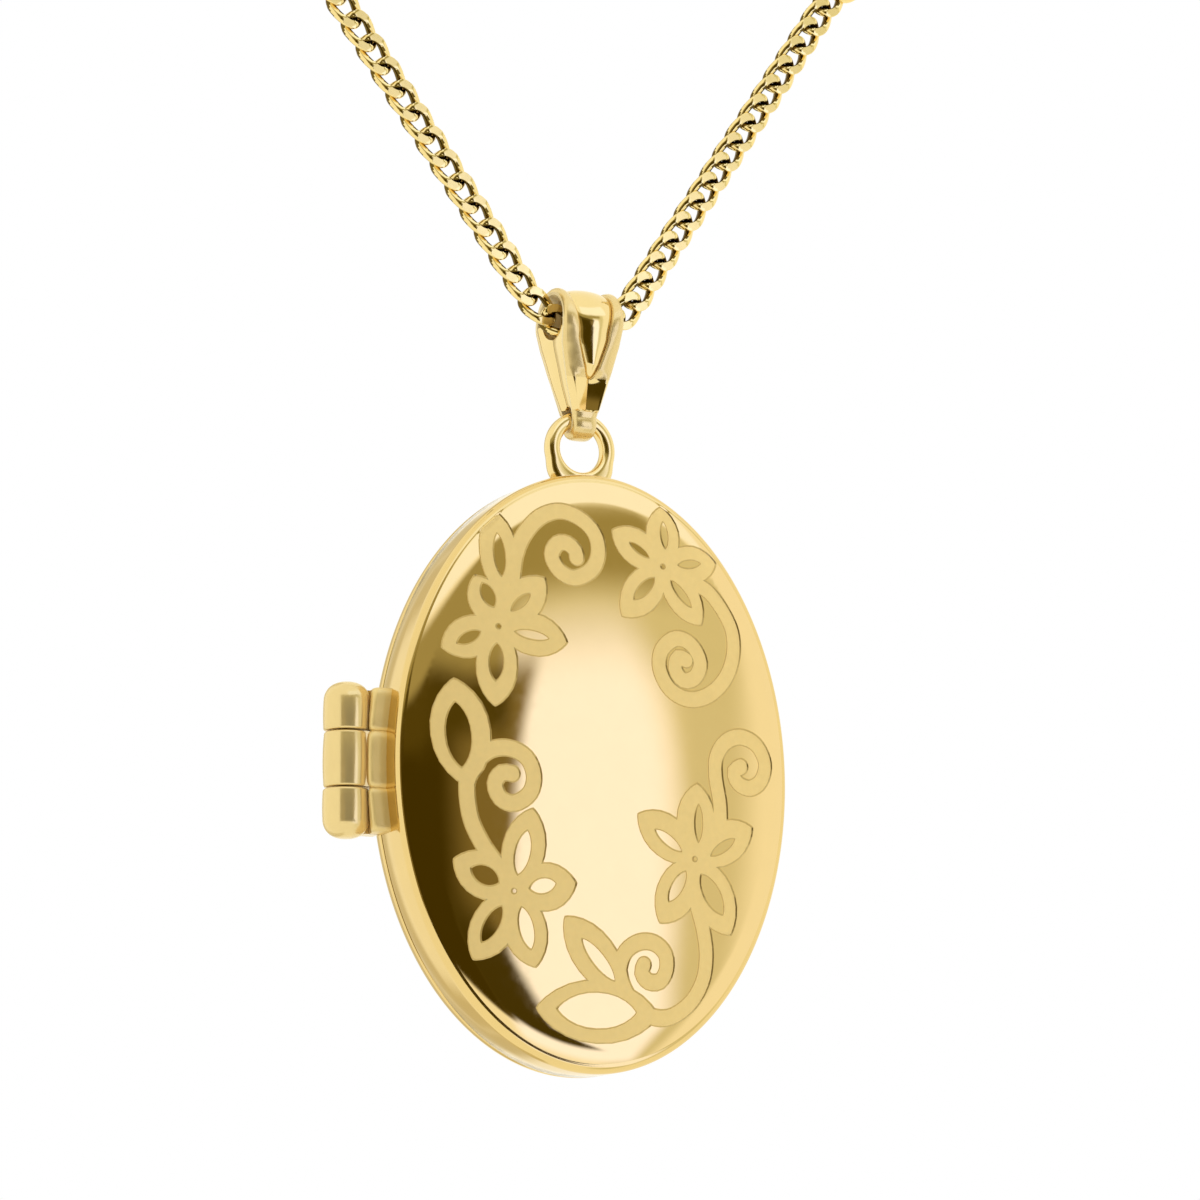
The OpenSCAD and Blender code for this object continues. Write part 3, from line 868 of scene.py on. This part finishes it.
def bail_side(front, left):
    """Side wall of one half, cut round the chain's hole and the loop's eye."""
    heights = np.linspace(BAIL_EYE_Z + 0.42, HOLE_Z, 60)
    steps = np.linspace(0, 1, 9)
    vertices = []
    for z in heights:
        start = BAIL_IN_TOP + (BAIL_IN_LOW - BAIL_IN_TOP) * z / BAIL_EYE_Z + 0.12
        chain_hole = HOLE_HALF * math.sqrt(max(0, 1 - ((z - HOLE_Z) / HOLE_DROP) ** 2))
        eye = math.sqrt(max(0, EYE_R ** 2 - (z - BAIL_EYE_Z) ** 2))
        stop = min(start - 0.02, max(SLIT_HALF, chain_hole, eye))
        for wall in (0, SIDE_WALL):
            for v in steps if wall == 0 else steps[::-1]:
                y = start + (stop - start) * v
                x = bail_half(z) - 0.015 - 0.10 * v ** 2.5 - wall
                vertices.append((-x if left else x, -y if front else y, z))
    return vertices, grid_faces(len(heights), 2 * len(steps))


def make_bail():
    """Fluted strip bent over the chain, with its collar and side walls."""
    path, normals = bail_path()
    vertices = []
    for (y, z), n in zip(path, normals):
        half = float(bail_half(z))
        share, thick, flare = bail_section(z)
        for x, t, f in zip(share * half, thick, flare):
            vertices.append((x, y + n[0] * (t + f), z + n[1] * (t + f)))
        for x, f in zip(share[::-1] * half, flare[::-1]):
            vertices.append((x, y + n[0] * f, z + n[1] * f))
    columns = 2 * len(share)
    faces = grid_faces(len(path), columns, wrap_rows=True)
    materials = [bail_gold, bail_inner_painted_light, hinge_gold, bail_soft_gold]
    kinds = []
    for i in range(len(faces)):
        column, height = i % columns, path[i // columns][1]
        rib = min(column, columns // 2 - 1 - column) < RIB_COLUMNS and height > TONGUE_END
        outside = 2 if height < COLLAR_TOP else 3 if rib else 0
        # The strip's inner side takes the painted light
        kinds.append(outside if column < columns // 2 else 1)
    for front in (True, False):
        for left in (True, False):
            side_vertices, side_faces = bail_side(front, left)
            faces += [tuple(v + len(vertices) for v in face) for face in side_faces]
            kinds += [0] * len(side_faces)
            vertices += side_vertices
    finish_piece("fluted_bail", vertices, faces, materials, "bail",
                 ["bail", "bail_collar"], face_material=kinds, sharp=42)


make_top_loop()
make_bail()


BARREL_SIDES = 72
# A dome lower than this is only an eased edge
EASED = 0.3


def turned_barrel(low, high, radius, low_dome, high_dome, waist):
    """Profile of a knuckle from its lower to its upper end."""
    def end(at, dome, sign):
        profile = []
        for a in np.linspace(0.02, math.pi / 2, 14):
            eased = radius - waist - dome * (1 - math.sin(a))
            domed = (radius - waist) * math.sin(a) ** 0.8
            profile.append((eased if dome < EASED else domed, at + sign * dome * (1 - math.cos(a))))
        return profile

    foot, head = end(low, low_dome, 1), end(high, high_dome, -1)[::-1]
    middle = [
        (radius - waist * (2 * s - 1) ** 2, foot[-1][1] + (head[0][1] - foot[-1][1]) * s)
        for s in np.linspace(0, 1, 9)[1:-1]
    ]
    return foot + middle + head


def make_knuckles():
    """Three turned knuckles, the outer two with a domed end."""
    for node, body, low_dome, high_dome, waist in (
        ("knuckle_top", "back_half", 0.13, 0.95, 0.02),
        ("knuckle_middle", "front_half", 0.13, 0.13, 0.05),
        ("knuckle_bottom", "back_half", 0.95, 0.13, 0.02),
    ):
        low, high = box_mm(node)
        centre = ((low[0] + high[0]) / 2, (low[1] + high[1]) / 2, 0)
        radius = (high[1] - low[1]) / 2
        profile = turned_barrel(low[2] - 0.02, high[2] + 0.02, radius, low_dome, high_dome, waist)
        vertices, faces = lathe(profile, centre, BARREL_SIDES)
        faces += end_caps(len(vertices), BARREL_SIDES)
        finish_piece(node + "_turned", vertices, faces, [hinge_gold], body, [node],
                     sharp=50)


# Hinge pads: half height of the middle one, how far they stand off the wall at their middles and
# in the creases, their gap to the barrel, the radius of their front edge and their rows
SEAT_CREASE = 1.4
PAD_REACH = 1.02
PAD_CREASE = 0.84
PAD_CLEAR = 0.07
PAD_EDGE = 0.3
PAD_ROWS = 97


def make_hinge_pads():
    """Seat of the hinge: three soft pads that cradle the knuckles and meet in creases."""
    low, high = box_mm("hinge_seat")
    barrel_low, barrel_high = box_mm("knuckle_middle")
    axis_x, axis_y = (barrel_low[0] + barrel_high[0]) / 2, (barrel_low[1] + barrel_high[1]) / 2
    clear = (barrel_high[0] - barrel_low[0]) / 2 + PAD_CLEAR
    middle_z = (low[2] + high[2]) / 2
    half = (high[2] - low[2]) / 2
    front, rear = low[1] + 0.02, high[1] + 0.02
    vertices = []
    for z in np.linspace(-half, half, PAD_ROWS):
        in_middle = abs(z) < SEAT_CREASE
        lobe_mid = 0 if in_middle else (SEAT_CREASE + half) / 2
        lobe_half = SEAT_CREASE if in_middle else (half - SEAT_CREASE) / 2
        across = min(1, abs(abs(z) - lobe_mid) / lobe_half)
        proud = PAD_CREASE + (PAD_REACH - PAD_CREASE) * (1 - across ** 8) ** 0.6
        wall = -RATIO * math.sqrt(HALF_H ** 2 - z ** 2) + 0.08
        begin = front + 0.16 * (1 - (1 - across ** 6) ** 0.5)
        section = [(0, begin)]
        section += [(proud - PAD_EDGE * (1 - math.sin(a)), begin + PAD_EDGE * (1 - math.cos(a)))
                    for a in np.linspace(0.2, math.pi / 2, 9)]
        section += [(proud, y) for y in np.linspace(begin + PAD_EDGE, rear, 12)[1:]]
        section.append((0, rear))
        for p, y in section:
            barrel = axis_x + math.sqrt(max(0, clear ** 2 - (y - axis_y) ** 2))
            vertices.append((max(wall - p, min(barrel, wall)), y, middle_z + z))
    columns = len(section)
    faces = grid_faces(PAD_ROWS, columns) + end_caps(len(vertices), columns)
    finish_piece("hinge_pads", vertices, faces, [pad_gold], "front_half",
                 ["hinge_seat"], sharp=60)


make_knuckles()
make_hinge_pads()


# ---- pictures

# Outline from the middle of one side to the middle of the other: shares of the half width and depth.
# The depth stays below 1, so that stacked plates have air between them
PLATE_FLAT = 0.88
PLATE_EDGE = 0.84
PLATE_SIDES = 120
PLATE_PROFILE = [
    (0.02, -PLATE_FLAT), (0.5, -PLATE_FLAT), (0.975, -PLATE_EDGE), (1, -0.5),
    (1, 0.5), (0.975, PLATE_EDGE), (0.5, PLATE_FLAT), (0.02, PLATE_FLAT),
]


def make_oval_plate(name, node, material, body):
    """Thin oval plate with a soft edge, the size of its CAD node."""
    low, high = box_mm(node)
    middle, half = (low + high) / 2, (high - low) / 2
    turn = np.linspace(0, 2 * math.pi, PLATE_SIDES, endpoint=False)
    rings = [
        np.stack([r * np.cos(turn), np.full(PLATE_SIDES, y), r * np.sin(turn)], 1)
        for r, y in PLATE_PROFILE
    ]
    vertices = np.vstack(rings) * half + middle
    faces = grid_faces(len(rings), PLATE_SIDES) + end_caps(len(vertices), PLATE_SIDES)
    faces = [f[::-1] for f in faces]
    finish_piece(name, vertices, faces, [material], body, [node])


make_oval_plate("front_acetate", "front_window", acetate, "front_half")
make_oval_plate("back_acetate", "back_window", acetate, "back_half")
make_oval_plate("front_picture_sheet", "front_picture", paper, "front_half")
make_oval_plate("back_picture_sheet", "back_picture", paper, "back_half")


# ---- carried-over nodes

FINISHES = {
    "end_jump_ring": chain_gold, "clasp_jump_ring": chain_gold, "clasp_eye": chain_gold,
    "end_tag": body_gold, "clasp_case": body_gold, "clasp_bolt": body_gold,
    # The hinge pin takes the near-black painted shade, for the shade in the gaps between the knuckles
    "hinge_front_leaf": hinge_gold, "hinge_back_leaves": hinge_gold, "hinge_pin": chain_shade,
    "inner_lip": frame_gold, "front_photo_frame": frame_gold, "back_photo_frame": frame_gold,
}
for node, finish in FINISHES.items():
    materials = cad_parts[node].data.materials
    materials.clear()
    materials.append(finish)


# ---- studio

# Metres
FLOOR_R = 2
FLOOR_Z = -0.3
BACKDROP_R = 2.2


def make_floor():
    """Pale floor far below the hanging locket, which mirror finishes don't show."""
    material, tree, shader = node_material("pale_floor")
    tint = ramp(tree, noise(tree, 3), [(0.3, (0.86, 0.86, 0.86)), (0.7, (0.90, 0.90, 0.90))])
    tree.links.new(tint, shader.inputs["Base Color"])
    shader.inputs["Roughness"].default_value = 0.8
    bpy.ops.mesh.primitive_circle_add(vertices=96, radius=FLOOR_R, fill_type="NGON",
                                      location=(0, 0, FLOOR_Z))
    floor = bpy.context.object
    floor.name = "floor"
    floor.data.materials.append(material)
    floor.visible_glossy = False
    return floor


def make_backdrop():
    """White backdrop round everything, which only the camera sees."""
    paint = bpy.data.materials.new("backdrop_white")
    paint.use_nodes = True
    nodes = paint.node_tree.nodes
    nodes.remove(nodes["Principled BSDF"])
    glow = nodes.new("ShaderNodeEmission")
    glow.inputs["Strength"].default_value = 1.0
    paint.node_tree.links.new(glow.outputs[0], nodes["Material Output"].inputs["Surface"])
    bpy.ops.mesh.primitive_uv_sphere_add(segments=48, ring_count=24, radius=BACKDROP_R)
    backdrop = bpy.context.object
    backdrop.name = "backdrop"
    backdrop.data.materials.append(paint)
    for ray in ("diffuse", "glossy", "transmission", "volume_scatter", "shadow"):
        setattr(backdrop, "visible_" + ray, False)
    return backdrop


# Soft panels of the light tent. Azimuth 0 is straight in front of the face and positive to its
# right, elevation is above the horizon, both in degrees; soft is the width of each blurred edge,
# and slant moves the right edge by so many degrees for each degree above SLANT_ABOUT.
SLANT_ABOUT = 8
TENT = (1.10, 1.10, 1.03)
PANELS = [
    # left, right, low, high, side and top softness, slant, colour
    (-181, -166, -75, 60, 9, 9, 0, (0.74, 0.68, 0.48)),
    (166, 181, -75, 60, 9, 9, 0, (0.74, 0.68, 0.48)),
    (-20, 60, 27, 50, 5, 3, 0, (1.2, 1.3, 1.55)),
    (33, 46, -45, 26, 8, 4, 0, (0.80, 0.79, 0.62)),
    (10, 46, 13, 26, 5, 5, 0, (0.80, 0.79, 0.60)),
    (8, 33, -26, 15, 6, 8, -0.25, (1.30, 1.39, 1.95)),
    (9, 37, 18.5, 26, 4, 4, 0, (0.40, 0.35, 0.15)),
    (-55, 17, 12, 25, 4, 4, 0, (0.42, 0.37, 0.17)),
    (-52, 18.8, -19, 13.8, 2.4, 3, 0.35, (0.24, 0.185, 0.06)),
    (-28, 9, -19, 14.4, 7, 3, 0, (0.062, 0.042, 0.001)),
    (7, 4, -17, -1, 2.5, 4, -1, (0.07, 0.05, 0.004)),
    (0, 17.5, 10, 13.5, 3, 2, 0, (0.09, 0.065, 0.006)),
    (-40, 4, 9, 15.6, 9, 3, 0, (0.10, 0.072, 0.008)),
]


def math_node(tree, operation, *inputs):
    """Output of a maths node over sockets and numbers."""
    node = tree.nodes.new("ShaderNodeMath")
    node.operation = operation
    for socket, value in zip(node.inputs, inputs):
        if isinstance(value, (int, float)):
            socket.default_value = value
        else:
            tree.links.new(value, socket)
    return node.outputs[0]


def soft_step(tree, value, edge, soft, rising):
    """0 to 1 across an edge of a given width, or 1 to 0."""
    node = tree.nodes.new("ShaderNodeMapRange")
    node.interpolation_type = "SMOOTHSTEP"
    node.inputs["From Min"].default_value = edge - soft / 2
    node.inputs["From Max"].default_value = edge + soft / 2
    node.inputs["To Min"].default_value = 0 if rising else 1
    node.inputs["To Max"].default_value = 1 if rising else 0
    tree.links.new(value, node.inputs["Value"])
    return node.outputs["Result"]


def panel_share(tree, azimuth, elevation, left, right, low, high, soft, soft_top, slant):
    """1 inside a panel and 0 outside it."""
    above = math_node(tree, "SUBTRACT", elevation, SLANT_ABOUT)
    leaning = math_node(tree, "SUBTRACT", azimuth, math_node(tree, "MULTIPLY", above, slant))
    from_left = soft_step(tree, azimuth, left, soft, True)
    to_right = soft_step(tree, leaning, right, soft, False)
    from_low = soft_step(tree, elevation, low, soft_top, True)
    to_high = soft_step(tree, elevation, high, soft_top, False)
    across = math_node(tree, "MULTIPLY", from_left, to_right)
    upward = math_node(tree, "MULTIPLY", from_low, to_high)
    return math_node(tree, "MULTIPLY", across, upward)


def make_world():
    """Tent light with soft panels painted by direction, each over the ones before it."""
    world = bpy.data.worlds.new("tent")
    bpy.context.scene.world = world
    world.use_nodes = True
    tree = world.node_tree
    place = tree.nodes.new("ShaderNodeTexCoord")
    split = tree.nodes.new("ShaderNodeSeparateXYZ")
    tree.links.new(place.outputs["Generated"], split.inputs[0])
    x, y, z = split.outputs
    to_degrees = 180 / math.pi
    forward = math_node(tree, "MULTIPLY", y, -1)
    azimuth = math_node(tree, "MULTIPLY", math_node(tree, "ARCTAN2", x, forward), to_degrees)
    elevation = math_node(tree, "MULTIPLY", math_node(tree, "ARCSINE", z), to_degrees)
    colour = None
    for *edges, paint in PANELS:
        mix = tree.nodes.new("ShaderNodeMix")
        mix.data_type = "RGBA"
        tree.links.new(panel_share(tree, azimuth, elevation, *edges), mix.inputs[0])
        mix.inputs[6].default_value = (*TENT, 1)
        if colour:
            tree.links.new(colour, mix.inputs[6])
        mix.inputs[7].default_value = (*paint, 1)
        colour = mix.outputs[2]
    tree.links.new(colour, tree.nodes["Background"].inputs["Color"])


floor = make_floor()
backdrop = make_backdrop()
make_world()
bpy.context.scene.view_settings.view_transform = "Standard"
